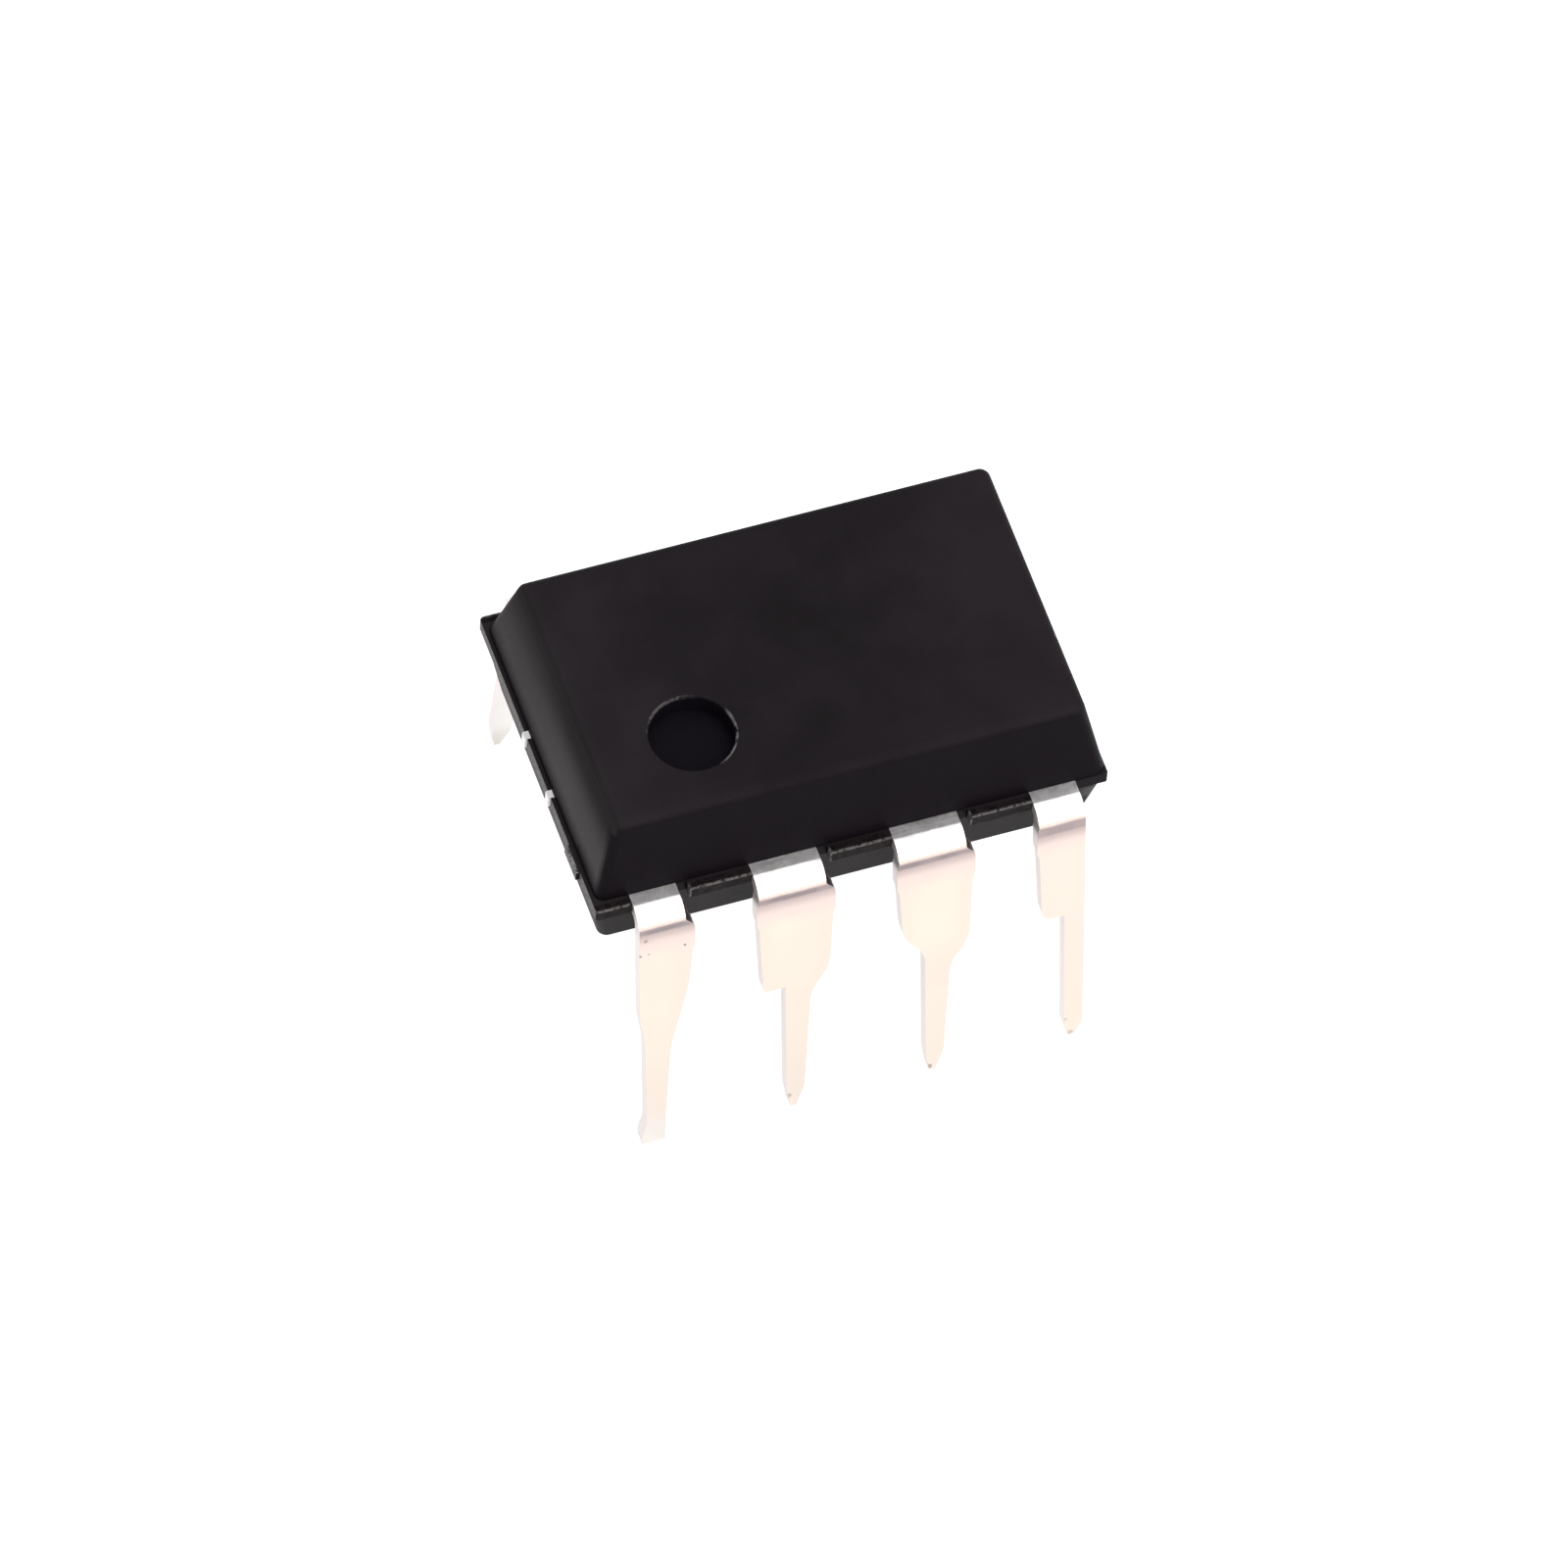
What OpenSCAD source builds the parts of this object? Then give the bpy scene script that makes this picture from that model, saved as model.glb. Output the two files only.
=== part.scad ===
// Eight-lead dual in-line integrated circuit: a moulded package on a stamped lead frame.
// The origin is on the surface that the lead tips stand on, below the middle of the package.
// X runs along the package, Y across it, and lead 1 is at the front left.

/* [Package] */
// Length of the package where its two halves meet
body_l = 9.24; // [9.0:0.02:9.6]
// Width of the package where its two halves meet
body_w = 5.98; // [5.6:0.02:6.2]
// Height of the upper half, above the leads
upper_h = 1.66; // [1.4:0.02:1.9]
// Height of the lower half, below the leads
lower_h = 1.24; // [0.9:0.02:1.5]
// Angle that every side leans in by, so that the package leaves its mould
draft = 10.8; // [5:0.1:14]
// Radius of the upright corners
corner_r = 0.18; // [0.1:0.02:0.3]
// Radius of the edges round the top face
top_edge_r = 0.2; // [0.06:0.02:0.3]
// How far the lower half sits to the left of the upper one
mould_shift = 0.04; // [0:0.01:0.1]

/* [Trimmed flash] */
// How far the sharp parting line stands out all round
parting_out = 0.02; // [0.01:0.01:0.05]
// Radius of the parting line's corners
parting_r = 0.04; // [0.02:0.01:0.1]
// How far the flash between the leads stands out from the long sides
flash_out = 0.2; // [0.1:0.02:0.3]
// How far the flash stands out from the left end of the lower half
flash_end = 0.03; // [0.02:0.01:0.1]
// Gap that the trimming punch leaves between a lead and the flash on its right
flash_gap = 0.2; // [0.1:0.02:0.3]
// Radius of the flash's outer corners
flash_r = 0.08; // [0.05:0.01:0.2]
// Width of the stub where the mould's gate was broken off
gate_w = 0.6; // [0.4:0.05:1]
// Height of that stub
gate_h = 0.2; // [0.1:0.02:0.24]
// How far it stands out from the left end
gate_out = 0.07; // [0.03:0.01:0.15]
// Distance from the middle of the package to the stub, across it
gate_y = 2; // [1.2:0.1:2.3]

/* [Dimple] */
// Diameter of the round dimple that marks lead 1
dimple_d = 1.5; // [1:0.1:1.8]
// Depth of the dimple
dimple_depth = 0.4; // [0.1:0.05:0.6]
// Radius of the soft rim round the dimple
dimple_rim = 0.04; // [0.01:0.01:0.08]
// Distance from the middle of the package to the dimple, along it
dimple_x = 2.37; // [2.1:0.05:2.6]
// Distance from the middle of the package to the dimple, across it
dimple_y = 1.19; // [1:0.05:1.4]

/* [Underside] */
// Diameter of the round marks that the mould's ejector pins leave
ejector_d = 1.2; // [0.8:0.1:1.6]
// Depth of those marks
ejector_depth = 0.05; // [0.02:0.01:0.1]
// Distance from the middle of the package to each mark
ejector_x = 2.7; // [2.2:0.1:3.2]

/* [Leads] */
// Distance between neighbouring leads
pitch = 2.54; // [2.5:0.01:2.6]
// Thickness of the lead frame
lead_t = 0.25; // [0.2:0.01:0.3]
// Width of a lead where it leaves the package
exit_w = 1.22; // [1.1:0.01:1.3]
// Distance from the middle of a corner lead to the side where it is cut narrow
cut_x = 0.23; // [0.18:0.01:0.3]
// Width of a shoulder, below the stubs of the dam bar
shoulder_w = 1.34; // [1.3:0.01:1.5]
// How much narrower the shoulder is at its foot
shoulder_taper = 0.14; // [0:0.01:0.2]
// How far the shoulders are stamped off to the right of the leads' middles
shoulder_shift = 0.06; // [0:0.01:0.08]
// Width of the narrow leg that goes through a board
leg_w = 0.46; // [0.4:0.01:0.56]
// How much narrower the leg is where its tip begins
leg_taper = 0.13; // [0:0.01:0.16]
// How far the legs are stamped off to the right of the leads' middles
leg_shift = 0.09; // [0:0.01:0.1]
// Width of a pointed tip's end
tip_w = 0.1; // [0.08:0.01:0.16]
// Length of a tip
tip_l = 0.45; // [0.3:0.05:0.8]
// Width of the blunt foot of lead 1
foot_w = 0.42; // [0.36:0.01:0.5]
// Flat length between the package and the bend
flat_l = 0.24; // [0.15:0.01:0.35]
// Radius inside the bend
bend_r = 0.15; // [0.1:0.01:0.2]
// Angle that a leg spreads out by
flare = 8.6; // [2:0.1:10]
// Height of the leads' top face above the tips
stand_h = 5.72; // [5.4:0.02:6.2]
// Height of the leg, from the tip to the seating step
leg_h = 3.1; // [2.9:0.05:3.3]
// Height of the slope from a shoulder to the leg
slope_h = 0.5; // [0.3:0.05:0.7]
// Height of the long slope on lead 1
long_slope_h = 1.5; // [1.2:0.05:1.8]
// How much lower the slope on the right of lead 3 is than the seating step
slope_drop = 0.2; // [0:0.05:0.3]
// How far a cut stub of the dam bar stands out from a shoulder
stub_out = 0.04; // [0.02:0.01:0.1]
// Height of a cut stub of the dam bar
stub_h = 0.5; // [0.3:0.05:0.6]
// How far the rounding of a stamped corner reaches along its sides
small_round = 0.1; // [0.04:0.01:0.15]
// The same for the softer corners of the slopes
large_round = 0.24; // [0.15:0.01:0.3]

/* [Lead frame inside] */
// Width of a lead's inner finger at its end
finger_w = 0.5; // [0.4:0.02:0.6]
// Depth that the wide root of a lead goes into the package
root_l = 0.62; // [0.5:0.02:0.8]
// Gap between the fingers and the die paddle
frame_gap = 0.28; // [0.2:0.02:0.4]
// Length of the die paddle
paddle_l = 3.3; // [2.8:0.1:3.8]
// Width of the die paddle
paddle_w = 2.3; // [2:0.1:2.5]
// Width of a tie bar
tie_w = 0.16; // [0.12:0.01:0.24]
// Distance between the two tie bars at one end
tie_pitch = 1.27; // [1.1:0.01:1.4]
// How far a tie bar's cut end stands out from the package
tie_out = 0.04; // [0.01:0.01:0.08]

/* [Die] */
// Length of the silicon die
die_l = 1.9; // [1.4:0.1:2.2]
// Width of the silicon die
die_w = 1.5; // [1.1:0.1:1.7]
// Thickness of the silicon die
die_t = 0.28; // [0.2:0.02:0.36]
// Thickness of the glue under the die
attach_t = 0.03; // [0.02:0.005:0.05]
// Width of the glue that shows round the die
attach_rim = 0.12; // [0.05:0.01:0.2]

/* [Bond wires] */
// Diameter of a bond wire
wire_d = 0.05; // [0.03:0.005:0.06]
// Diameter of the ball that welds a wire to the die
ball_d = 0.11; // [0.08:0.01:0.14]
// Height of that ball
ball_h = 0.03; // [0.02:0.005:0.04]
// Height of a wire's loop above the die
loop_h = 0.26; // [0.15:0.01:0.35]
// Distance from the die's edges to the middle of a bond pad
pad_inset = 0.14; // [0.1:0.01:0.2]
// Distance from a finger's end to its weld
weld_inset = 0.16; // [0.1:0.01:0.25]

/* [Hidden] */

epoxy_colour = [0.14, 0.135, 0.145];
tin_colour = [0.82, 0.80, 0.77];
copper_colour = [0.78, 0.50, 0.35];
glue_colour = [0.68, 0.68, 0.66];
silicon_colour = [0.35, 0.38, 0.45];
gold_colour = [0.90, 0.72, 0.32];

// Faces on exact round work, and on the small rounds that a hull blends
round_fn = 48;
blend_fn = 24;
// Straight pieces that make up the rounding of a stamped corner
corner_steps = 3;
// A thickness too small to see, a smaller one, and a length that reaches past whatever is cut
thin = 0.01;
hair = 0.0005;
beyond = 1;

// Heights above the tips
frame_top_z = stand_h;
frame_low_z = stand_h - lead_t;
body_top_z = frame_top_z + upper_h;
body_low_z = frame_low_z - lower_h;
die_top_z = frame_top_z + attach_t + die_t;

half_l = body_l / 2;
half_w = body_w / 2;
upper_in = upper_h * tan(draft);
lower_in = lower_h * tan(draft);
core_l = body_l + 2 * parting_out;
core_w = body_w + 2 * parting_out;
left_end = -half_l - mould_shift - flash_end;

row_leads = 4;
row_l = (row_leads - 1) * pitch;
bend_out_r = bend_r + lead_t;
seat_p = stand_h - leg_h;

// Where each lead leaves the package: 1 to 4 along the front, 5 to 8 back along the rear
function in_front(n) = n <= row_leads;
function lead_x(n) = in_front(n)
  ? (n - 1) * pitch - row_l / 2
  : row_l / 2 - (n - row_leads - 1) * pitch;

// A corner lead is cut narrow on the side of the package's end.
// Sides are named as seen from outside the lead's own row: -1 is left and 1 is right.
function cut_side(n) = n % row_leads == 1 ? -1 : n % row_leads == 0 ? 1 : 0;
function edge_x(n, side) = side == cut_side(n) ? cut_x : exit_w / 2;

module lead_place(n) {
  translate([lead_x(n), 0, 0])
    rotate(in_front(n) ? 0 : 180)
      children();
}

// Package

module rounded_plan(l, w, r) {
  translate([-l / 2 + r, -w / 2]) square([l - 2 * r, w]);
  translate([-l / 2, -w / 2 + r]) square([l, w - 2 * r]);
  for (x = [-1, 1], y = [-1, 1])
    translate([x * (l / 2 - r), y * (w / 2 - r)])
      circle(r = r, $fn = blend_fn);
}

module plan_slice(l, w, z) {
  translate([0, 0, z])
    linear_extrude(height = thin)
      rounded_plan(l, w, corner_r);
}

// Leaning sides that end in a soft edge round the top face
module upper_half() {
  top_l = body_l - 2 * upper_in;
  top_w = body_w - 2 * upper_in;
  hull() {
    plan_slice(body_l, body_w, frame_top_z);
    for (x = [-1, 1], y = [-1, 1])
      translate([x * (top_l / 2 - top_edge_r), y * (top_w / 2 - top_edge_r), body_top_z - top_edge_r])
        sphere(r = top_edge_r, $fn = blend_fn);
  }
}

// Leaning sides down to the flat underside
module lower_half() {
  translate([-mould_shift, 0, 0])
    hull() {
      plan_slice(body_l, body_w, frame_low_z - thin);
      plan_slice(body_l - 2 * lower_in, body_w - 2 * lower_in, body_low_z);
    }
}

// Flash that fills the space between the leads out to where the dam bar was.
// It ends at the last lead, because the right end was trimmed clean.
module flash_plan() {
  reach = lead_x(row_leads) - left_end;
  depth = body_w + 2 * flash_out;
  translate([left_end, -depth / 2]) {
    translate([flash_r, 0]) square([reach - flash_r, depth]);
    translate([0, flash_r]) square([flash_r, depth - 2 * flash_r]);
    for (y = [flash_r, depth - flash_r])
      translate([flash_r, y]) circle(r = flash_r, $fn = round_fn);
  }
}

// The slot through the flash for one lead, with the punch's gap on its right
module flash_slot(n) {
  left_x = edge_x(n, in_front(n) ? -1 : 1);
  right_x = edge_x(n, in_front(n) ? 1 : -1) + flash_gap;
  translate([lead_x(n) - left_x, in_front(n) ? -half_w - beyond : half_w])
    square([left_x + right_x, beyond]);
}

// The layer as thick as the lead frame, where the two halves of the mould meet
module middle_layer() {
  translate([0, 0, frame_low_z])
    linear_extrude(height = lead_t) {
      rounded_plan(core_l, core_w, parting_r);
      difference() {
        flash_plan();
        for (n = [1 : 2 * row_leads]) flash_slot(n);
      }
    }
}

// Stub of epoxy left at the gate that the mould was filled through
module gate_stub() {
  translate([left_end - gate_out, -gate_y - gate_w / 2, frame_low_z + (lead_t - gate_h) / 2])
    cube([gate_out + flash_end, gate_w, gate_h]);
}

// A round pocket whose rim turns over softly into the top face
module dimple() {
  dimple_r = dimple_d / 2;
  rim_arc = [for (a = [0 : 90 / corner_steps : 90])
    [dimple_r + dimple_rim * (1 - cos(a)), dimple_rim * (sin(a) - 1)]];
  translate([-dimple_x, -dimple_y, body_top_z])
    rotate_extrude($fn = round_fn)
      polygon(concat(
        [[0, beyond], [0, -dimple_depth], [dimple_r, -dimple_depth]],
        rim_arc,
        [[dimple_r + dimple_rim, beyond]]
      ));
}

module ejector_marks() {
  for (side = [-1, 1])
    translate([side * ejector_x - mould_shift, 0, body_low_z - beyond])
      cylinder(h = beyond + ejector_depth, d = ejector_d, $fn = round_fn);
}

// The epoxy is moulded round everything inside it, so each piece leaves its own shape
module package_body() {
  color(epoxy_colour)
    difference() {
      union() {
        upper_half();
        middle_layer();
        gate_stub();
        lower_half();
      }
      dimple();
      ejector_marks();
      for (n = [1 : 2 * row_leads]) {
        lead_place(n) lead_inner(n, flash_out);
        bond_wire(n);
      }
      die_paddle();
      die_attach();
      silicon_die();
    }
}

// Leads, drawn with their own row in front: out is -Y

// Side view of the bent strip: X is the distance out from the package, Y the height
module strip_profile() {
  difference() {
    under_strip(bend_out_r);
    under_strip(bend_r);
  }
}

// Everything behind the strip's face that turns round the bend at radius r.
// The leg's face lies a hair inside the round, so that the two cross instead of touching.
module under_strip(r) {
  bend_y = frame_low_z - bend_r;
  leg_r = r - hair;
  leg_top = [flat_l + leg_r * cos(flare), bend_y + leg_r * sin(flare)];
  translate([flat_l, bend_y]) circle(r = r, $fn = round_fn);
  translate([-root_l, 0]) square([root_l + flat_l, bend_y + r]);
  polygon([[0, 0], [flat_l, bend_y], leg_top, [leg_top[0] + leg_top[1] * tan(flare), 0]]);
}

// Outlines run down one side of a lead as points
// [distance from the middle, depth below the lead's top, reach of the corner's rounding].
// The stamping is a little off to the right, which is the world's right in both rows.
function off_middle(n, side, shift) = (in_front(n) ? side : -side) * shift;
function shoulder_x(n, side) = shoulder_w / 2 + off_middle(n, side, shoulder_shift);
function leg_x(n, side) = leg_w / 2 + off_middle(n, side, leg_shift);

function shoulder_edge(n, side) =
  let (x = shoulder_x(n, side))
  [
    [exit_w / 2, -beyond, 0],
    [exit_w / 2, lead_t, 0],
    [x + stub_out, bend_out_r, small_round],
    [x + stub_out, bend_out_r + stub_h, small_round],
    [x, bend_out_r + stub_h + small_round, small_round]
  ];
function step_edge(n, side, reach) = concat(
  shoulder_edge(n, side),
  [[shoulder_x(n, side) - shoulder_taper / 2, seat_p, reach], [leg_x(n, side), seat_p, 0]]
);
function slope_edge(n, side, h, drop = 0) = concat(
  shoulder_edge(n, side),
  [
    [shoulder_x(n, side) - shoulder_taper / 2, seat_p + drop - h / 2, large_round],
    [leg_x(n, side), seat_p + drop + h / 2, large_round]
  ]
);
function straight_edge(n, side) = [
  [cut_x, -beyond, 0],
  [cut_x, seat_p, large_round],
  [min(cut_x, leg_x(n, side)), seat_p + slope_h, large_round]
];

// Shape of each side of each lead in the front row, and of the rear row's plainer leads
function edge_points(n, side) =
  side == cut_side(n) ? straight_edge(n, side)
  : n == 1 ? slope_edge(n, side, long_slope_h)
  : n == 2 && side == -1 ? step_edge(n, side, small_round)
  : n == 3 ? slope_edge(n, side, slope_h, side * slope_drop)
  : n == 4 ? step_edge(n, side, large_round)
  : slope_edge(n, side, slope_h);

// A leg narrows a little to where its tip begins. Lead 1 ends in a blunt foot, lead 4 is
// rounded off and the others are pointed.
function tip_points(n, side) =
  let (x = (leg_w - leg_taper) / 2 + off_middle(n, side, leg_shift / 2))
  n == 1 ? [
    [x, stand_h - tip_l, small_round],
    [foot_w / 2, stand_h - tip_l / 2, small_round],
    [foot_w / 2, stand_h, 0]
  ]
  : n == 4 ? [
    [x, stand_h - tip_l, large_round],
    [x, stand_h - tip_l / 2, small_round],
    [tip_w / 2, stand_h, 0]
  ]
  : [
    [x, stand_h - tip_l, small_round],
    [tip_w / 2, stand_h, 0]
  ];

// A corner b between a and c, turned over in straight pieces along a parabola
function soft_corner(a, b, c) =
  let (
    reach = min(b[2], norm(flat(a) - flat(b)) / 2, norm(flat(c) - flat(b)) / 2),
    from = flat(b) + reach * unit(flat(a) - flat(b)),
    to = flat(b) + reach * unit(flat(c) - flat(b))
  )
  b[2] == 0 ? [flat(b)]
  : [for (k = [0 : corner_steps])
      let (t = k / corner_steps)
      (1 - t) * (1 - t) * from + 2 * t * (1 - t) * flat(b) + t * t * to];
function flat(p) = [p[0], p[1]];
function unit(v) = v / norm(v);
function softened(points) = [for (i = [0 : len(points) - 1])
  each soft_corner(points[max(i - 1, 0)], points[i], points[min(i + 1, len(points) - 1)])];

function placed(points, side) = [for (p = points) [side * p[0], stand_h - p[1]]];
function reversed(points) = [for (i = [len(points) - 1 : -1 : 0]) points[i]];
function side_points(n, side) =
  placed(softened(concat(edge_points(n, side), tip_points(n, side))), side);
function outline(n) = concat(side_points(n, 1), reversed(side_points(n, -1)));

module lead_outer(n) {
  intersection() {
    rotate([90, 0, -90])
      translate([half_w, 0, -shoulder_w])
        linear_extrude(height = 2 * shoulder_w)
          strip_profile();
    translate([0, -half_w + root_l, 0])
      rotate([90, 0, 0])
        linear_extrude(height = stand_h)
          polygon(outline(n));
  }
}

// Where the end of each finger lies, in its lead's own frame.
// The middle two fingers end a finger's width apart, and the others beside the paddle's ends.
function finger_end(n) = cut_side(n) == 0
  ? [(n % row_leads == 2 ? 1 : -1) * (pitch / 2 - finger_w), -paddle_w / 2 - frame_gap]
  : [-cut_side(n) * (row_l / 2 - paddle_l / 2 - frame_gap - finger_w / 2),
     -tie_pitch / 2 - tie_w / 2 - frame_gap];

// The root and finger that the epoxy holds, with the root lengthened outward by extra
module lead_inner(n, extra = 0) {
  left_x = -edge_x(n, -1);
  right_x = edge_x(n, 1);
  root_y = -half_w + root_l;
  end = finger_end(n);
  translate([0, 0, frame_low_z])
    linear_extrude(height = lead_t) {
      translate([left_x, -half_w - extra]) square([right_x - left_x, root_l + extra]);
      polygon([
        [left_x, root_y],
        [right_x, root_y],
        [end[0] + finger_w / 2, end[1]],
        [end[0] - finger_w / 2, end[1]]
      ]);
    }
}

module lead(n) {
  color(tin_colour)
    lead_place(n) {
      lead_outer(n);
      lead_inner(n);
    }
}

// Die and what carries it

// The centre plate of the lead frame, held by two tie bars to each end of the package
module die_paddle() {
  right_end = half_l + tie_out;
  color(copper_colour)
    translate([0, 0, frame_low_z])
      linear_extrude(height = lead_t) {
        square([paddle_l, paddle_w], center = true);
        for (y = [-1, 1])
          translate([left_end - tie_out, y * tie_pitch / 2 - tie_w / 2])
            square([right_end - left_end + tie_out, tie_w]);
      }
}

module die_attach() {
  color(glue_colour)
    translate([0, 0, frame_top_z + attach_t / 2])
      cube([die_l + 2 * attach_rim, die_w + 2 * attach_rim, attach_t], center = true);
}

module silicon_die() {
  color(silicon_colour)
    translate([0, 0, die_top_z - die_t / 2])
      cube([die_l, die_w, die_t], center = true);
}

// Bond pads sit along the die's edges, a middle pair and a corner pair on each side
function pad_place(n) = [
  sign(lead_x(n)) * (cut_side(n) == 0 ? die_l / 6 : die_l / 2 - pad_inset),
  (in_front(n) ? -1 : 1) * (die_w / 2 - pad_inset)
];
function weld_place(n) =
  let (end = finger_end(n), turn = in_front(n) ? 1 : -1)
  [lead_x(n) + turn * end[0], turn * (end[1] - weld_inset)];

// A wire rises from its ball, bends at the top of the loop and runs straight to its weld
module bond_wire(n) {
  pad = pad_place(n);
  run = weld_place(n) - pad;
  reach = norm(run);
  top_z = die_top_z + loop_h;
  drop = top_z - frame_top_z;
  color(gold_colour)
    translate([pad[0], pad[1], 0])
      rotate(atan2(run[1], run[0]))
        difference() {
          union() {
            translate([0, 0, die_top_z]) cylinder(h = ball_h, d = ball_d, $fn = round_fn);
            translate([0, 0, die_top_z]) cylinder(h = loop_h, d = wire_d, $fn = round_fn);
            translate([0, 0, top_z]) sphere(d = wire_d, $fn = round_fn);
            translate([0, 0, top_z])
              rotate([0, 90 + atan(drop / reach), 0])
                cylinder(h = norm([reach, drop]) + wire_d, d = wire_d, $fn = round_fn);
          }
          translate([reach - beyond, -beyond, frame_top_z - beyond])
            cube([2 * beyond, 2 * beyond, beyond]);
        }
}

package_body();
lead(1);  // lead_1
lead(2);  // lead_2
lead(3);  // lead_3
lead(4);  // lead_4
lead(5);  // lead_5
lead(6);  // lead_6
lead(7);  // lead_7
lead(8);  // lead_8
die_paddle();
die_attach();
silicon_die();
bond_wire(1);  // bond_wire_1
bond_wire(2);  // bond_wire_2
bond_wire(3);  // bond_wire_3
bond_wire(4);  // bond_wire_4
bond_wire(5);  // bond_wire_5
bond_wire(6);  // bond_wire_6
bond_wire(7);  // bond_wire_7
bond_wire(8);  // bond_wire_8
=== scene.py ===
import math
import bpy
from mathutils import Matrix, Vector

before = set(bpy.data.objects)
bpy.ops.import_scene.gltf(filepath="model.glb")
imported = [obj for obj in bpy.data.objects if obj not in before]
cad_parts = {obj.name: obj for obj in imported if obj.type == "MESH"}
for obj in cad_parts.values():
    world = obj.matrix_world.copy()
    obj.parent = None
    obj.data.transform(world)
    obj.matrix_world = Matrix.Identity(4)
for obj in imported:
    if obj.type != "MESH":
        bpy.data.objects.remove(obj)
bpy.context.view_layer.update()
MM = 0.001

# The camera has the photograph's angle, roll and scale. Its shifts are in pixels of the
# picture, its distance from the origin is in mm.
AZ, EL, ROLL = math.radians(22.8148), math.radians(56.0977), math.radians(4.9175)
PX_PER_MM, SHIFT_X, SHIFT_Y, DIST = 58.6604, -3.6631, -100.7144, 391.1045
PICTURE_PX = 1600
SENSOR_MM = 36

# Places on the part, in mm.
FRAME_LOW, FRAME_TOP = 5.47, 5.72
BODY_TOP = 7.38
SLOPE = 0.19
LEFT_EDGE_X = -4.2
LOWER_CORNER_X = 4.1
FLASH_ROOT_Y, FLASH_Y, FLASH_END_X, STUB_X = 3.03, 3.19, -4.69, -4.70
FLASH_ENDS_X = (-3.0, -0.46, 2.08)
DIMPLE_X, DIMPLE_Y, DIMPLE_R, DIMPLE_FROM_Z = -2.37, -1.19, 0.75, 6.5
CHIP_PLACE = (4.29, -1.04, 7.33)
LEAD_1_X, PITCH = -3.81, 2.54
OUTER_LEADS = (2.6, 3.1)
BEND_OUT_Y = 3.40
BEND_END_Z = 5.49
TIE_BAR_CUT = (4.50, 4.55)

# Specks of dirt on lead 1 and at the tips: place, size and how dark.
SPECKS = (
    ((-3.225, -3.706, 4.850), 0.022, 0.8),
    ((-3.931, -3.656, 5.181), 0.035, 0.45),
    ((-4.035, -3.700, 4.827), 0.03, 0.6),
    ((-3.880, -3.707, 4.838), 0.018, 0.5),
    ((1.214, -4.423, 0.106), 0.05, 0.55),
    ((-1.349, -4.396, 0.284), 0.05, 0.35),
    ((3.803, -4.432, 0.048), 0.05, 0.3),
    ((3.710, -4.377, 0.413), 0.035, 0.2),
)

# Linear colours of the epoxy.
# The sides and the top are shaded and lit copies of one epoxy: painted shade on the sides, painted
# light on the top.
SHADED_SIDE_DARK, SHADED_SIDE_PALE = (0.0050, 0.0032, 0.0053), (0.0070, 0.0048, 0.0074)
LIT_TOP_DARK, LIT_TOP_PALE = (0.0108, 0.0084, 0.0102), (0.0200, 0.0162, 0.0198)
# Painted reflection on the left end, painted highlight on its top edge and on the top beside it.
LEFT_REFLECTION_LOW_BACK, LEFT_REFLECTION_LOW_FRONT = (0.050, 0.045, 0.046), (0.066, 0.060, 0.062)
LEFT_REFLECTION_HIGH_BACK, LEFT_REFLECTION_HIGH_FRONT = (0.029, 0.0255, 0.0265), (0.020, 0.0175, 0.018)
LEFT_EDGE_HIGHLIGHT = (0.027, 0.0245, 0.0255)
TOP_LEFT_HIGHLIGHT = (0.024, 0.0215, 0.0225)
# Painted reflection of the floor on the lower half.
LOWER_HALF_REFLECTION = (0.015, 0.012, 0.013)
SCUFF = (0.060, 0.057, 0.057)
FLECK = (0.022, 0.020, 0.021)
# Painted shade in the dimple, painted highlight on its rim.
DIMPLE_FLOOR_SHADE, DIMPLE_WALL_SHADE = (0.0070, 0.0054, 0.0088), (0.0080, 0.0062, 0.0098)
DIMPLE_RIM_HIGHLIGHT = (0.15, 0.143, 0.148)
CHIP = (0.16, 0.15, 0.15)
FLASH_DARK, FLASH_PALE = (0.005, 0.0035, 0.004), (0.020, 0.0155, 0.017)
# Painted highlight on the gate stub, painted reflection on the flash's broken left end face,
# painted highlight on the flash's edges.
STUB_DARK, STUB_HIGHLIGHT = (0.03, 0.028, 0.029), (0.38, 0.36, 0.36)
BROKEN_END_REFLECTION_DARK, BROKEN_END_REFLECTION_PALE = (0.075, 0.068, 0.070), (0.20, 0.185, 0.185)
FLASH_RIM_HIGHLIGHT = (0.15, 0.14, 0.138)
EPOXY_SPECULAR = 0.04

# Linear colours of the plating.
# The plating's own warm tone; its spread from pink to yellow is painted reflection.
TIN_PINK, TIN_YELLOW = (0.744, 0.652, 0.582), (0.760, 0.698, 0.598)
TIN_MOTTLE = (0.73, 0.665, 0.58)
# Painted reflection on the flat strip beside the package.
STRIP_REFLECTION_LOW, STRIP_REFLECTION_HIGH = (0.75, 0.72, 0.72), (1.0, 0.98, 0.97)
# Painted dark reflection line at the bend's end, with a painted pink fade below it.
PINK_REFLECTION_FADE = (0.735, 0.59, 0.565)
DARK_REFLECTION_LINE, DARK_REFLECTION_CORE = (0.36, 0.29, 0.285), (0.25, 0.215, 0.225)
INWARD_FACE = (0.83, 0.81, 0.78)
LEAD_1_FOOT = (0.73, 0.685, 0.65)
STAMPED_EDGE = (0.76, 0.71, 0.70)
DIRT = (0.10, 0.08, 0.09)

# Linear colours of the lead frame's copper.
COPPER_DARK, COPPER_PALE = (0.55, 0.27, 0.15), (0.72, 0.38, 0.22)
COPPER_CUT = (0.62, 0.44, 0.35)
# Painted glint on the tie bars' cut ends.
TIE_BAR_GLINT = (0.98, 0.97, 0.96)

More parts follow.
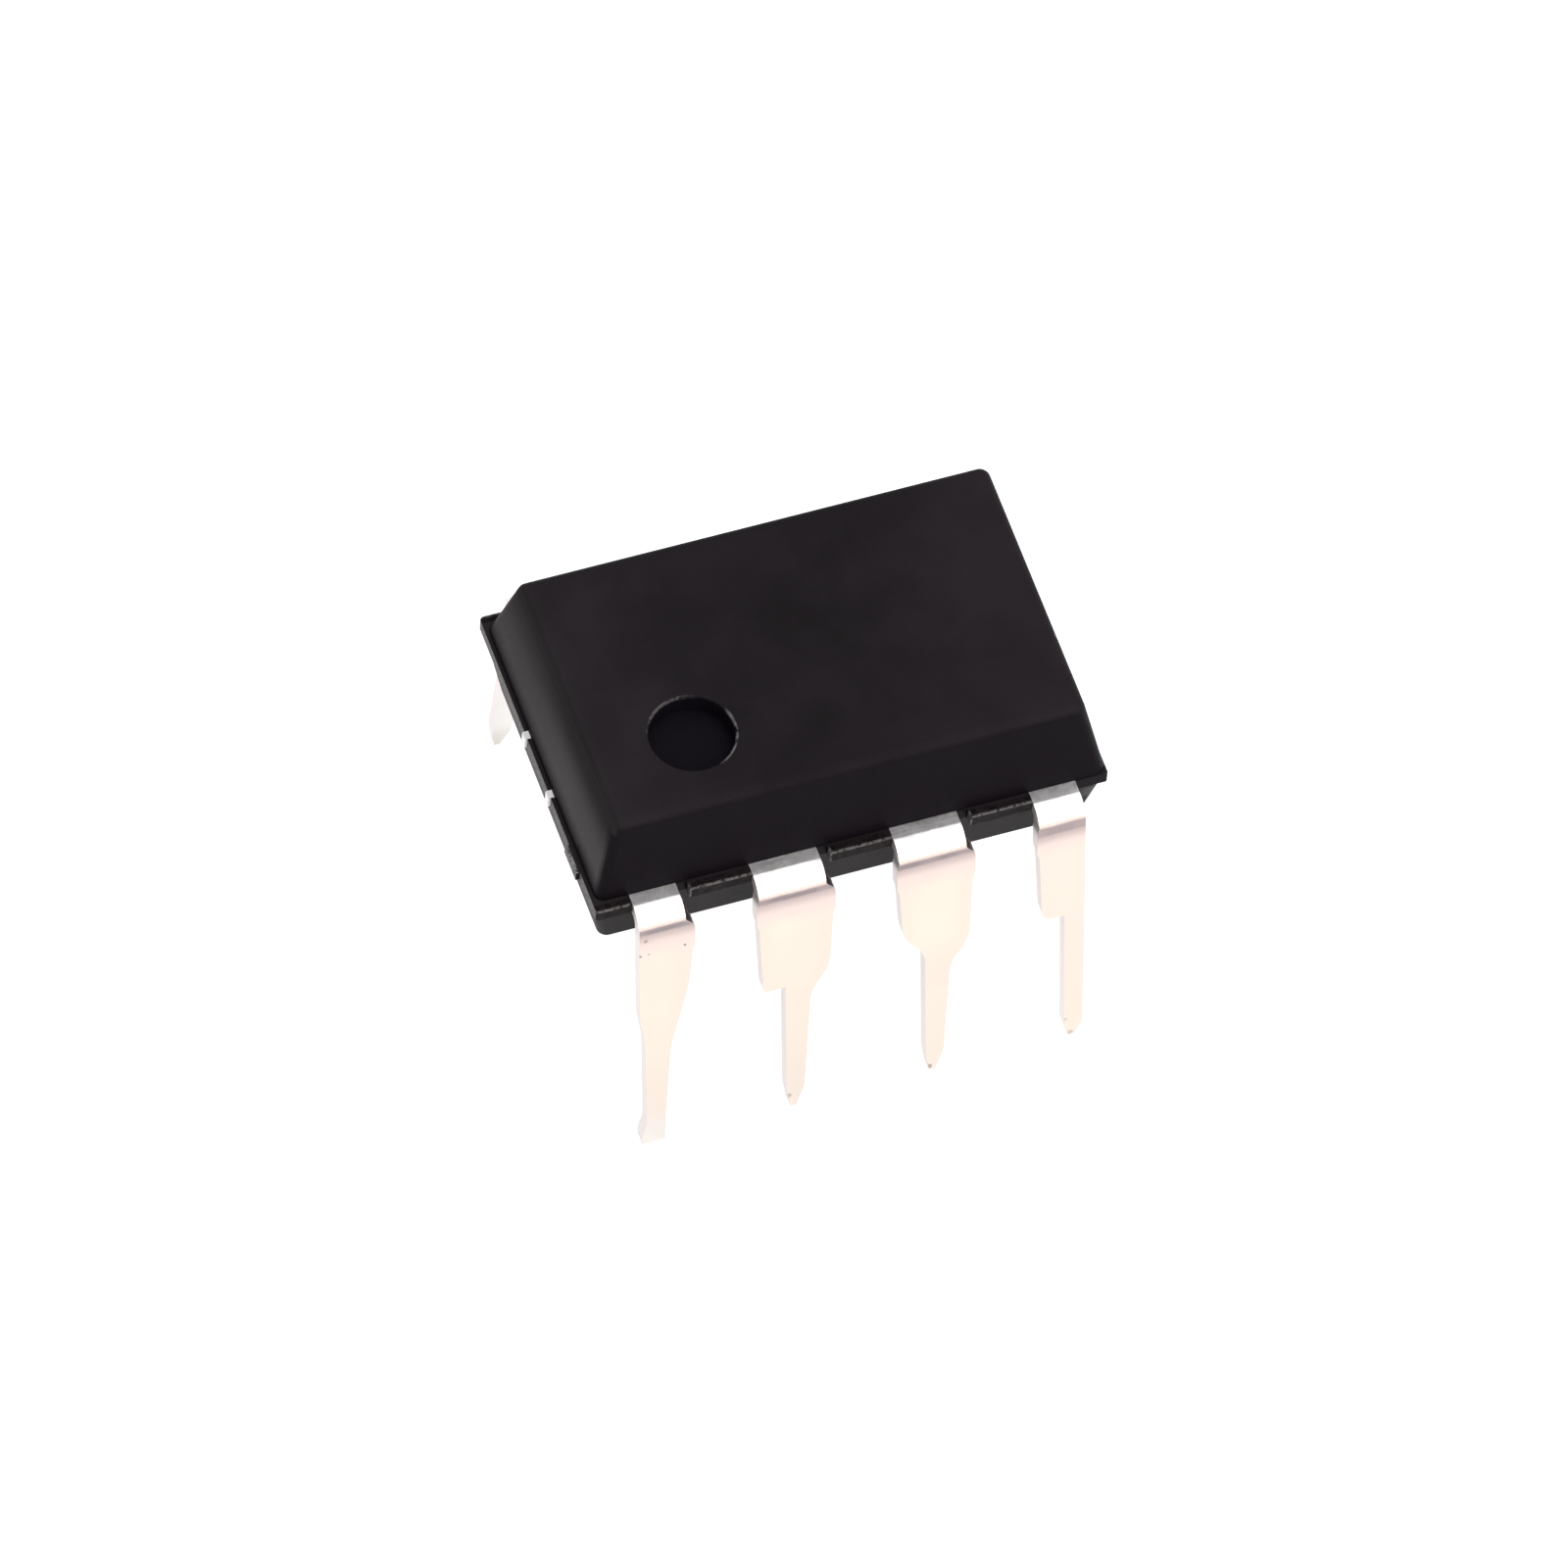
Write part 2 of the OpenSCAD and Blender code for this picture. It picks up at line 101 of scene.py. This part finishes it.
# Floor and light.
FLOOR_HALF = 0.6
FLOOR_TONES = (0.54, 0.54, 0.54), (0.56, 0.56, 0.56)
FLOOR_GLOW = 0.82
WORLD_STRENGTH = 0.38
LAMPS = (
    # name, place, size, power, colour
    ("front_box", (0.119, -0.44, 0.308), (0.25, 0.64), 1.5, (1.0, 0.985, 0.965)),
    ("top_box", (0.10, -0.06, 0.56), (0.3, 0.36), 0.9, (1, 1, 1)),
    ("back_box", (0.12, 0.30, 0.50), (0.5, 0.5), 0.9, (1, 1, 1)),
)


def link_object(name, data):
    o = bpy.data.objects.new(name, data)
    bpy.context.scene.collection.objects.link(o)
    return o


def make_camera():
    back = Vector((-math.sin(AZ) * math.cos(EL), -math.cos(AZ) * math.cos(EL), math.sin(EL)))
    level = (-back).cross(Vector((0, 0, 1))).normalized()
    upright = level.cross(-back)
    cr, sr = math.cos(ROLL), math.sin(ROLL)
    right, up = level * cr + upright * sr, upright * cr - level * sr
    place = back * DIST - right * (SHIFT_X / PX_PER_MM) - up * (SHIFT_Y / PX_PER_MM)
    data = bpy.data.cameras.new("camera")
    data.sensor_width = SENSOR_MM
    data.lens = PX_PER_MM * DIST * SENSOR_MM / PICTURE_PX
    data.clip_start, data.clip_end = 0.01, 10
    cam = link_object("camera", data)
    m = Matrix((right, up, back)).transposed().to_4x4()
    m.translation = place * MM
    cam.matrix_world = m
    bpy.context.scene.camera = cam


class Nodes:
    """A short way to write a node tree. Positions and noise scales in it are in mm."""

    SOCKETS = {
        "colour": "Base Color", "metal": "Metallic", "rough": "Roughness", "normal": "Normal",
        "spec": "Specular IOR Level", "glow": "Emission Color", "glow_power": "Emission Strength",
    }

    def __init__(self, name):
        self.mat = bpy.data.materials.new(name)
        self.mat.use_nodes = True
        self.tree = self.mat.node_tree
        self.shader = self.tree.nodes["Principled BSDF"]
        coord = self.tree.nodes.new("ShaderNodeTexCoord").outputs
        self.pos = self.vec("MULTIPLY", coord["Object"], (1 / MM, 1 / MM, 1 / MM))
        self.x, self.y, self.z = self.xyz(self.pos)
        self.nx, self.ny, self.nz = self.xyz(coord["Normal"])

    def put(self, socket, value):
        if isinstance(value, bpy.types.NodeSocket):
            self.tree.links.new(value, socket)
        elif socket.type == "RGBA":
            socket.default_value = (*value, 1)
        else:
            socket.default_value = value

    def vec(self, op, a, b=(0, 0, 0)):
        n = self.tree.nodes.new("ShaderNodeVectorMath")
        n.operation = op
        self.put(n.inputs[0], a)
        self.put(n.inputs[1], b)
        return n.outputs["Value" if op == "DISTANCE" else "Vector"]

    def xyz(self, vector):
        n = self.tree.nodes.new("ShaderNodeSeparateXYZ")
        self.put(n.inputs[0], vector)
        return n.outputs[0], n.outputs[1], n.outputs[2]

    def noise(self, scale, detail=2.0, rough=0.5, vector=None, distortion=0.0):
        n = self.tree.nodes.new("ShaderNodeTexNoise")
        self.put(n.inputs["Vector"], vector or self.pos)
        n.inputs["Scale"].default_value = scale
        n.inputs["Detail"].default_value = detail
        n.inputs["Roughness"].default_value = rough
        n.inputs["Distortion"].default_value = distortion
        return n.outputs["Fac"]

    def math(self, op, a, b=0.5):
        n = self.tree.nodes.new("ShaderNodeMath")
        n.operation = op
        self.put(n.inputs[0], a)
        self.put(n.inputs[1], b)
        return n.outputs[0]

    def add(self, a, b):
        return self.math("ADD", a, b)

    def minus(self, a, b):
        return self.math("SUBTRACT", a, b)

    def size(self, a):
        return self.math("ABSOLUTE", a)

    def times(self, *values):
        out = values[0]
        for v in values[1:]:
            out = self.math("MULTIPLY", out, v)
        return out

    def span(self, value, lo, hi, to_lo=0.0, to_hi=1.0):
        """to_lo where the value is under lo, to_hi where it is over hi, smooth between them."""
        n = self.tree.nodes.new("ShaderNodeMapRange")
        n.interpolation_type = "SMOOTHSTEP"
        limits = {"Value": value, "From Min": lo, "From Max": hi, "To Min": to_lo, "To Max": to_hi}
        for socket, v in limits.items():
            self.put(n.inputs[socket], v)
        return n.outputs["Result"]

    def below(self, value, lo, hi):
        return self.span(value, lo, hi, 1, 0)

    def band(self, value, lo, hi, soft):
        """1 between lo and hi, falling to 0 over a width of soft outside them."""
        return self.times(self.span(value, lo - soft, lo), self.below(value, hi, hi + soft))

    def mix(self, fac, a, b):
        n = self.tree.nodes.new("ShaderNodeMix")
        n.data_type = "RGBA"
        self.put(n.inputs[0], fac)
        self.put(n.inputs[6], a)
        self.put(n.inputs[7], b)
        return n.outputs[2]

    def bump(self, height, strength=1.0, normal=None):
        n = self.tree.nodes.new("ShaderNodeBump")
        n.inputs["Strength"].default_value = strength
        n.inputs["Distance"].default_value = MM
        self.put(n.inputs["Height"], height)
        if normal:
            self.put(n.inputs["Normal"], normal)
        return n.outputs["Normal"]

    def set(self, **values):
        for k, v in values.items():
            self.put(self.shader.inputs[self.SOCKETS[k]], v)
        return self.mat


def paint_left_end_reflection(m, colour, left):
    """The left end carries a painted reflection, grey in its lower half, except at its foot and
    front edge. Its top edge and the top beside it carry painted highlight.
    """
    front = m.below(m.y, -1.0, 1.5)
    low = m.mix(front, LEFT_REFLECTION_LOW_BACK, LEFT_REFLECTION_LOW_FRONT)
    high = m.mix(front, LEFT_REFLECTION_HIGH_BACK, LEFT_REFLECTION_HIGH_FRONT)
    left_reflection = m.mix(m.span(m.z, 6.5, 7.22), low, high)
    from_front_edge = m.minus(m.y, m.times(m.z, SLOPE))
    above_foot = m.span(m.z, FRAME_TOP + 0.03, FRAME_TOP + 0.48)
    inside = m.times(above_foot, m.span(from_front_edge, -4.06, -3.84))
    colour = m.mix(m.times(left, inside), colour, left_reflection)
    # Painted highlight along the rounded top-left edge.
    edge = m.times(m.band(m.nz, 0.32, 0.9, 0.1),
                   m.below(m.x, LEFT_EDGE_X - 0.05, LEFT_EDGE_X + 0.05), m.span(m.z, 7.1, 7.2))
    colour = m.mix(m.times(edge, 0.8), colour, LEFT_EDGE_HIGHLIGHT)
    # Painted highlight on the top next to the left end.
    on_top = m.times(m.below(m.x, -4.3, -3.9), m.span(m.nz, 0.9, 0.99), 0.7)
    return m.mix(on_top, colour, TOP_LEFT_HIGHLIGHT)


def paint_lower_half_reflection(m, colour):
    """The lower half is painted a little greyer as painted reflection of the floor below, with a
    scuff on its front right corner.
    """
    colour = m.mix(m.span(m.z, FRAME_LOW - 0.06, FRAME_LOW - 0.01, 0.8, 0), colour, LOWER_HALF_REFLECTION)
    scuff = m.times(m.span(m.x, LOWER_CORNER_X, LOWER_CORNER_X + 0.2),
                    m.below(m.ny, -0.95, -0.8), m.band(m.z, 5.1, 5.3, 0.15))
    return m.mix(scuff, colour, SCUFF)


def toward(m, degrees):
    """1 on the side of the dimple that lies at this angle from X, 0 on the rest."""
    flat_pos = m.vec("MULTIPLY", m.pos, (1, 1, 0))
    out = m.vec("NORMALIZE", m.vec("SUBTRACT", flat_pos, (DIMPLE_X, DIMPLE_Y, 0)))
    angle = math.radians(degrees)
    ox, oy, _ = m.xyz(out)
    return m.span(m.add(m.times(ox, math.cos(angle)), m.times(oy, math.sin(angle))), 0.62, 0.86)


def shade_dimple(m, colour, from_axis, in_dimple):
    """The dimple's dark colour is painted shade and painted dark reflection. Its rim carries
    painted highlight behind it and on its right.
    """
    wall = m.below(m.nz, 0.3, 0.7)
    colour = m.mix(in_dimple, colour, m.mix(wall, DIMPLE_FLOOR_SHADE, DIMPLE_WALL_SHADE))
    # Painted highlight on the rim, behind the dimple and on its right.
    lit = m.add(m.times(toward(m, 116), 0.55), toward(m, -22))
    dimple_highlight = m.times(m.band(from_axis, DIMPLE_R - 0.005, DIMPLE_R + 0.035, 0.015),
                   m.span(m.z, BODY_TOP - 0.06, BODY_TOP - 0.03))
    dimple_highlight = m.times(dimple_highlight, lit, m.span(m.noise(7, 3, 0.6), 0.35, 0.6))
    return m.mix(dimple_highlight, colour, DIMPLE_RIM_HIGHLIGHT)


def tear_flash(m, colour):
    """The flash is torn, greyer epoxy. Its top edge and ends carry painted highlight broken up by
    noise, the gate stub's sloped top painted highlight, and the flash's broken left end face
    painted reflection.
    """
    wide = m.size(m.y)
    flash = m.times(m.span(wide, FLASH_ROOT_Y, FLASH_ROOT_Y + 0.03),
                    m.span(m.z, FRAME_LOW - 0.02, FRAME_LOW - 0.01))
    torn = m.mix(m.span(m.noise(6, 4, 0.75), 0.3, 0.7), FLASH_DARK, FLASH_PALE)
    colour = m.mix(flash, colour, torn)
    # Painted highlight on the gate stub's sloped top, speckled by noise.
    stub = m.times(m.below(m.x, STUB_X - 0.02, STUB_X), m.span(m.nz, 0.3, 0.6))
    colour = m.mix(stub, colour,
                   m.mix(m.span(m.noise(6, 4, 0.7), 0.4, 0.6), STUB_DARK, STUB_HIGHLIGHT))
    # Painted reflection on the flash's broken left end face, speckled by noise.
    broken = m.times(m.below(m.nx, -0.95, -0.8),
                     m.below(m.x, FLASH_END_X + 0.01, FLASH_END_X + 0.02))
    colour = m.mix(broken, colour,
                   m.mix(m.span(m.noise(16, 3, 0.6), 0.3, 0.7), BROKEN_END_REFLECTION_DARK, BROKEN_END_REFLECTION_PALE))
    # Painted highlight along the flash's top edge and ends, broken up by noise.
    highlight_gaps = m.span(m.noise(11, 3, 0.6), 0.34, 0.56)
    rim = m.times(m.span(wide, FLASH_Y - 0.045, FLASH_Y - 0.02),
                  m.span(m.z, FRAME_TOP - 0.05, FRAME_TOP - 0.02))
    for end in FLASH_ENDS_X:
        rim = m.math("MAXIMUM", rim, m.times(m.band(m.x, end - 0.02, end + 0.02, 0.02), flash))
    return m.mix(m.times(rim, highlight_gaps), colour, FLASH_RIM_HIGHLIGHT)


def epoxy():
    m = Nodes("moulded_epoxy")
    up = m.span(m.nz, 0.2, 0.75)
    grain = m.noise(26, 3, 0.6)
    cloud = m.noise(0.7, 3, 0.55)
    fleck = m.span(m.noise(9, 4, 0.65), 0.62, 0.8)

    # The top is a little matter than the sides. Its lighter colour is painted light and the sides'
    # darker colour painted shade; the top is paler towards both ends.
    side = m.mix(cloud, SHADED_SIDE_DARK, SHADED_SIDE_PALE)
    to_ends = m.span(m.size(m.add(m.x, 0.1)), 0.8, 4.2)
    pale = m.add(m.times(m.span(cloud, 0.3, 0.7), 0.5), m.times(to_ends, 0.6))
    colour = m.mix(up, side, m.mix(pale, LIT_TOP_DARK, LIT_TOP_PALE))

    # 1 on the faces of the upper half that look to the left.
    across = m.math("SQRT", m.add(m.times(m.nx, m.nx), m.times(m.ny, m.ny)))
    left = m.times(m.below(m.math("DIVIDE", m.nx, across), -0.95, -0.75),
                   m.below(m.nz, 0.5, 0.95))
    colour = paint_left_end_reflection(m, colour, left)
    colour = paint_lower_half_reflection(m, colour)
    colour = m.mix(m.times(fleck, 0.25), colour, FLECK)

    flat_pos = m.vec("MULTIPLY", m.pos, (1, 1, 0))
    from_axis = m.vec("DISTANCE", flat_pos, (DIMPLE_X, DIMPLE_Y, 0))
    in_dimple = m.times(m.below(from_axis, DIMPLE_R + 0.005, DIMPLE_R + 0.03),
                        m.span(m.z, DIMPLE_FROM_Z, DIMPLE_FROM_Z + 0.1))
    colour = shade_dimple(m, colour, from_axis, in_dimple)

    # A chip in the right-hand edge of the top.
    colour = m.mix(m.below(m.vec("DISTANCE", m.pos, CHIP_PLACE), 0.03, 0.06), colour, CHIP)
    colour = tear_flash(m, colour)

    rough = m.add(m.span(grain, 0.3, 0.7, 0.40, 0.50), m.times(up, 0.08))
    rough = m.add(rough, m.times(in_dimple, 0.25))

    # The left end's shade turns a little between its foot and the top edge.
    rise = m.math("MAXIMUM", m.minus(m.z, 5.8), 0)
    normal = m.bump(m.times(rise, rise, -0.12, left))
    normal = m.bump(m.add(m.times(grain, 0.006), m.times(cloud, 0.01)), 0.5, normal)
    return m.set(colour=colour, rough=rough, normal=normal, spec=EPOXY_SPECULAR)


def plating_and_reflection_tone(m, mottle):
    """Bright plating, yellower in the middle of a leg, pinker at its sides and on lead 4: the
    plating's warm tone carrying a painted reflection of warm surroundings.
    """
    tint = m.add(m.span(m.noise(0.55, 2, 0.5), 0.36, 0.62), m.band(m.z, 3.5, 4.5, 0.8))
    tint = m.times(tint, 0.5)
    off_axis = m.math("PINGPONG", m.add(m.x, -LEAD_1_X), PITCH / 2)
    tint = m.times(tint, m.span(m.x, 2.6, 3.2, 1, 0.4), m.span(off_axis, 0.15, 0.6, 1, 0.3))
    colour = m.mix(tint, TIN_PINK, TIN_YELLOW)
    return m.mix(m.span(mottle, 0.35, 0.7, 0, 0.3), colour, TIN_MOTTLE)


def paint_strip_reflection(m, colour, strip):
    """The flat strip beside the package carries a patchy, streaked painted reflection, lighter on
    the outer leads.
    """
    patch = m.span(m.noise(3.5, 3, 0.6, distortion=0.8), 0.36, 0.64)
    ends = m.span(m.size(m.x), *OUTER_LEADS)
    streak = m.span(m.noise(1.0, 2, 0.5, m.vec("MULTIPLY", m.pos, (2, 14, 1))), 0.5, 0.62)
    patch = m.add(m.add(m.times(patch, 0.7), m.times(ends, 0.3)), m.times(streak, 0.5))
    return m.mix(strip, colour, m.mix(patch, STRIP_REFLECTION_LOW, STRIP_REFLECTION_HIGH))


def dark_reflection_line(m, colour):
    """A dark line along the bend's end is painted dark reflection. Below it the plating carries a
    painted pink fade.
    """
    outer = m.span(m.size(m.y), BEND_OUT_Y, BEND_OUT_Y + 0.04)
    waver = m.add(m.z, m.times(m.minus(m.noise(2.2, 2, 0.5), 0.5), 0.04))
    lower = m.add(waver, m.span(m.x, *OUTER_LEADS, 0.04, 0.12))
    pink_fade = m.times(m.span(waver, 4.6, 5.25),
                    m.below(waver, BEND_END_Z - 0.04, BEND_END_Z + 0.02), outer)
    line = m.times(m.span(lower, 5.08, 5.42),
                   m.below(waver, BEND_END_Z - 0.06, BEND_END_Z), outer)
    core = m.times(m.span(lower, 5.34, 5.41),
                   m.below(waver, BEND_END_Z - 0.07, BEND_END_Z - 0.02), outer)
    core = m.times(core, m.span(m.noise(1.6, 2, 0.5), 0.3, 0.6, 0.4, 0.9),
                   m.span(m.x, *OUTER_LEADS, 1, 0.6))
    colour = m.mix(m.times(pink_fade, 0.85), colour, PINK_REFLECTION_FADE)
    colour = m.mix(m.times(line, 0.75), colour, DARK_REFLECTION_LINE)
    return m.mix(core, colour, DARK_REFLECTION_CORE)


def tin():
    m = Nodes("tinned_copper")
    mottle = m.noise(2.4, 4, 0.6, distortion=0.6)
    fine = m.noise(16, 3, 0.6)
    strip = m.span(m.z, FRAME_TOP - 0.03, FRAME_TOP - 0.005)
    colour = plating_and_reflection_tone(m, mottle)
    colour = paint_strip_reflection(m, colour, strip)
    colour = dark_reflection_line(m, colour)

    # The faces towards the package are whiter, the foot of lead 1 too. Stamped edges are duller.
    inward = m.below(m.times(m.ny, m.y), -2.0, -1.5)
    colour = m.mix(m.times(inward, m.below(m.z, 5.3, 5.4)), colour, INWARD_FACE)
    foot = m.times(m.below(m.z, 0.2, 0.9), m.below(m.x, -3.1, -2.6))
    colour = m.mix(foot, colour, LEAD_1_FOOT)
    edge = m.span(m.size(m.nx), 0.5, 0.8)
    colour = m.mix(m.times(edge, 0.8), colour, STAMPED_EDGE)

    for place, size, dark in SPECKS:
        near = m.below(m.vec("DISTANCE", m.pos, place), size * 0.6, size * 1.5)
        colour = m.mix(m.times(near, dark), colour, DIRT)

    rough = m.add(m.span(fine, 0.3, 0.7, 0.20, 0.27),
                  m.add(m.times(edge, 0.15), m.times(strip, 0.1)))
    height = m.add(m.times(mottle, 0.005), m.times(fine, 0.0008))
    return m.set(colour=colour, metal=1.0, rough=rough, normal=m.bump(height, 0.4))


def frame_metal():
    """Copper inside the package. On the left end, the tie bars' cut ends carry a painted glint,
    near white and not metallic.
    """
    m = Nodes("frame_copper")
    v = m.noise(5, 3, 0.6)
    near, far = TIE_BAR_CUT
    cut = m.span(m.size(m.x), near, far)
    bright = m.below(m.x, -far, -near)
    colour = m.mix(cut, m.mix(v, COPPER_DARK, COPPER_PALE), COPPER_CUT)
    colour = m.mix(bright, colour, TIE_BAR_GLINT)
    return m.set(colour=colour, metal=m.below(bright, 0, 1),
                 rough=m.span(v, 0.3, 0.7, 0.25, 0.38), normal=m.bump(m.times(v, 0.01), 0.3))


def inner(name, dark, pale, metal, rough):
    """A material for a piece that the package hides."""
    m = Nodes(name)
    v = m.noise(5, 3, 0.6)
    return m.set(colour=m.mix(v, dark, pale), metal=metal,
                 rough=m.span(v, 0.3, 0.7, rough, rough + 0.12),
                 normal=m.bump(m.times(v, 0.01), 0.3))


def make_floor():
    data = bpy.data.meshes.new("floor")
    s = FLOOR_HALF
    data.from_pydata([(-s, -s, 0), (s, -s, 0), (s, s, 0), (-s, s, 0)], [], [(0, 1, 2, 3)])
    o = link_object("floor", data)
    m = Nodes("pale_floor")
    data.materials.append(m.set(colour=m.mix(m.noise(0.06, 2, 0.5), *FLOOR_TONES), rough=0.9,
                                spec=0.0, glow=(1, 1, 1), glow_power=FLOOR_GLOW))


def make_light():
    world = bpy.data.worlds.new("studio")
    bpy.context.scene.world = world
    world.use_nodes = True
    background = world.node_tree.nodes["Background"].inputs
    background["Color"].default_value = (1, 1, 1, 1)
    background["Strength"].default_value = WORLD_STRENGTH
    for name, place, size, power, colour in LAMPS:
        data = bpy.data.lights.new(name, "AREA")
        data.shape = "RECTANGLE"
        data.size, data.size_y = size
        data.energy = power
        data.color = colour
        lamp = link_object(name, data)
        lamp.location = place
        lamp.rotation_euler = (-Vector(place)).to_track_quat("-Z", "Y").to_euler()


def dress_nodes():
    looks = {
        "package_body": epoxy(),
        "lead": tin(),
        "die_paddle": frame_metal(),
        "die_attach": inner("die_glue", (0.30, 0.30, 0.31), (0.42, 0.42, 0.43), 0.0, 0.5),
        "silicon_die": inner("silicon", (0.05, 0.055, 0.07), (0.10, 0.105, 0.13), 0.4, 0.12),
        "bond_wire": inner("gold_wire", (0.80, 0.56, 0.20), (0.92, 0.68, 0.30), 1.0, 0.2),
    }
    for name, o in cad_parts.items():
        kind = name.rstrip("_0123456789")
        for slot in o.material_slots:
            slot.material = looks[kind]


make_camera()
make_floor()
make_light()
bpy.context.scene.view_settings.view_transform = "Standard"
dress_nodes()
